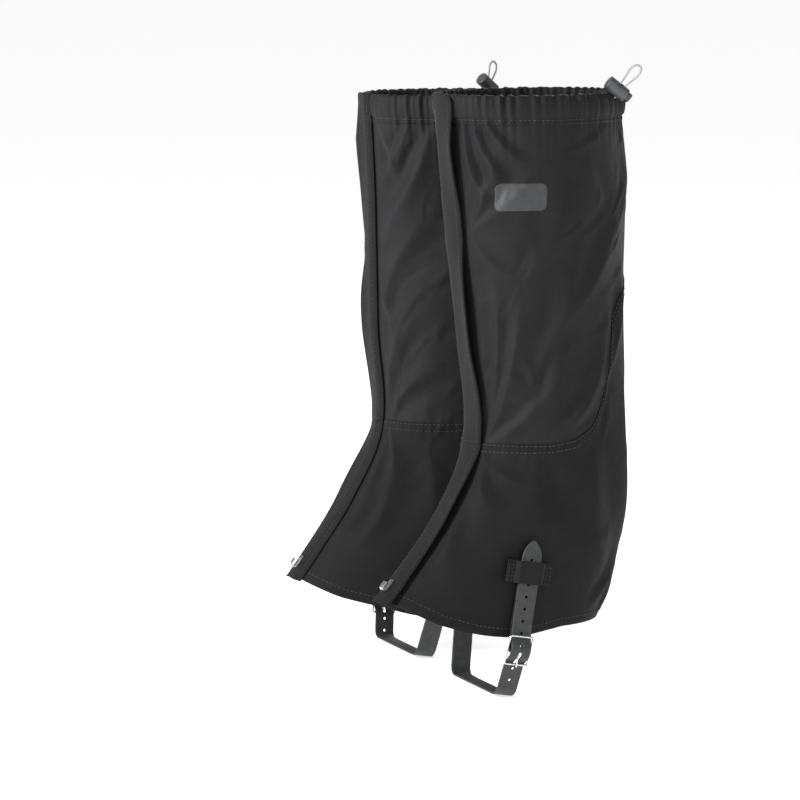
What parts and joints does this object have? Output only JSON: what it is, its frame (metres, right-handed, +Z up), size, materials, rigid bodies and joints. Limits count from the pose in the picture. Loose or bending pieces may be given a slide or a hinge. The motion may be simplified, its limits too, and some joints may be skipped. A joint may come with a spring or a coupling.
{
  "type": "pair of mountaineering gaiters",
  "caption": "Knee-high mountaineering gaiters with a front flap closure, drawcord rim with cord lock, lace hooks and buckled instep straps, in worn shape.",
  "frame": {"origin": "on the ground, midway between the two legs, under the ankle line", "axes": "+Z up; toes towards -Y; +X to the wearer's left; the right gaiter mirrors the left one in the plane X = 0, is worn 8 mm lower, and differs in the line of its front, its seam and the height of its hem's tip"},
  "size_m": [0.2886, 0.2334, 0.5137],
  "materials": {
    "light_fabric": "satin woven nylon",
    "heavy_fabric": "matt heavy woven nylon",
    "flap_fabric": "woven nylon",
    "closure_tape": "hook and loop tape",
    "elastic_cord": "braided",
    "webbing": "woven webbing",
    "strap_rubber": "matt coated",
    "lock_plastic": "satin moulded",
    "buckle_metal": "nickel plated",
    "hook_metal": "nickel plated",
    "spring_steel": "drawn wire",
    "patch_print": "printed film"
  },
  "bodies": {
    "left_shell": {"left_upper_outer_panel": "light_fabric", "left_upper_inner_panel": "light_fabric", "left_lower_outer_panel": "heavy_fabric", "left_lower_inner_panel": "heavy_fabric", "left_hem_facing": "heavy_fabric", "left_top_casing": "light_fabric", "left_drawcord": "elastic_cord", "left_cord_loop": "elastic_cord", "left_cord_lock_body": "lock_plastic", "left_cord_lock_spring": "spring_steel", "left_upper_loop_tape": "closure_tape", "left_lower_loop_tape": "closure_tape", "left_chape": "webbing", "left_instep_strap": "strap_rubber", "left_strap_keeper": "heavy_fabric", "left_strap_rivets": "hook_metal", "left_reflective_patch": "patch_print"},
    "left_upper_flap": {"left_upper_flap": "flap_fabric", "left_upper_hook_tape": "closure_tape"},
    "left_lower_flap": {"left_lower_flap": "flap_fabric", "left_lower_hook_tape": "closure_tape", "left_lace_hook": "hook_metal", "left_lace_hook_rivet": "hook_metal"},
    "left_buckle": {"left_buckle_frame": "buckle_metal"},
    "left_prong": {"left_buckle_prong": "buckle_metal"},
    "left_lock_button": {"left_cord_lock_button": "lock_plastic"},
    "right_shell": {"right_upper_outer_panel": "light_fabric", "right_upper_inner_panel": "light_fabric", "right_lower_outer_panel": "heavy_fabric", "right_lower_inner_panel": "heavy_fabric", "right_hem_facing": "heavy_fabric", "right_top_casing": "light_fabric", "right_drawcord": "elastic_cord", "right_cord_loop": "elastic_cord", "right_cord_lock_body": "lock_plastic", "right_cord_lock_spring": "spring_steel", "right_upper_loop_tape": "closure_tape", "right_lower_loop_tape": "closure_tape", "right_chape": "webbing", "right_instep_strap": "strap_rubber", "right_strap_keeper": "heavy_fabric", "right_strap_rivets": "hook_metal", "right_reflective_patch": "patch_print"},
    "right_upper_flap": {"right_upper_flap": "flap_fabric", "right_upper_hook_tape": "closure_tape"},
    "right_lower_flap": {"right_lower_flap": "flap_fabric", "right_lower_hook_tape": "closure_tape", "right_lace_hook": "hook_metal", "right_lace_hook_rivet": "hook_metal"},
    "right_buckle": {"right_buckle_frame": "buckle_metal"},
    "right_prong": {"right_buckle_prong": "buckle_metal"},
    "right_lock_button": {"right_cord_lock_button": "lock_plastic"}
  },
  "joints": [
    {"name": "left_upper_flap_peel", "type": "hinge", "parent": "left_shell", "child": "left_upper_flap", "pos_m": [0.07508, -0.07266, 0.349], "axis": [-0.0159, 0.1133, -0.9934], "range_deg": [0, 80]},
    {"name": "left_lower_flap_peel", "type": "hinge", "parent": "left_shell", "child": "left_lower_flap", "pos_m": [0.07861, -0.09777, 0.145], "axis": [0.0784, -0.5579, -0.8262], "range_deg": [0, 80]},
    {"name": "left_buckle_swing", "type": "hinge", "parent": "left_shell", "child": "left_buckle", "pos_m": [0.1395, -0.03424, 0.0415], "axis": [0, 0.9848, -0.1736], "range_deg": [0, 4]},
    {"name": "left_prong_lift", "type": "hinge", "parent": "left_buckle", "child": "left_prong", "pos_m": [0.1395, -0.03424, 0.0415], "axis": [0, -0.9848, 0.1736], "range_deg": [0, 8]},
    {"name": "left_lock_press", "type": "slide", "parent": "left_shell", "child": "left_lock_button", "axis": [-0.183, -0.7691, 0.6124], "range_m": [0, 0.0025], "stiffness_N_per_m": 400, "springref_m": -0.001, "deforming": ["left_cord_lock_spring"]},
    {"name": "right_upper_flap_peel", "type": "hinge", "parent": "right_shell", "child": "right_upper_flap", "pos_m": [-0.07516, -0.07321, 0.3435], "axis": [-0.0054, -0.0383, 0.9993], "range_deg": [0, 80]},
    {"name": "right_lower_flap_peel", "type": "hinge", "parent": "right_shell", "child": "right_lower_flap", "pos_m": [-0.07912, -0.10138, 0.137], "axis": [0.0661, 0.4706, 0.8798], "range_deg": [0, 80]},
    {"name": "right_buckle_swing", "type": "hinge", "parent": "right_shell", "child": "right_buckle", "pos_m": [-0.1395, -0.03424, 0.0335], "axis": [0, -0.9848, 0.1736], "range_deg": [0, 4]},
    {"name": "right_prong_lift", "type": "hinge", "parent": "right_buckle", "child": "right_prong", "pos_m": [-0.1395, -0.03424, 0.0335], "axis": [0, 0.9848, -0.1736], "range_deg": [0, 8]},
    {"name": "right_lock_press", "type": "slide", "parent": "right_shell", "child": "right_lock_button", "axis": [0.183, -0.7691, 0.6124], "range_m": [0, 0.0025], "stiffness_N_per_m": 400, "springref_m": -0.001, "deforming": ["right_cord_lock_spring"]},
    {"name": "right_gaiter_apart", "type": "slide", "parent": "left_shell", "child": "right_shell", "axis": [-1, 0, 0], "range_m": [0, 0.2]}
  ]
}
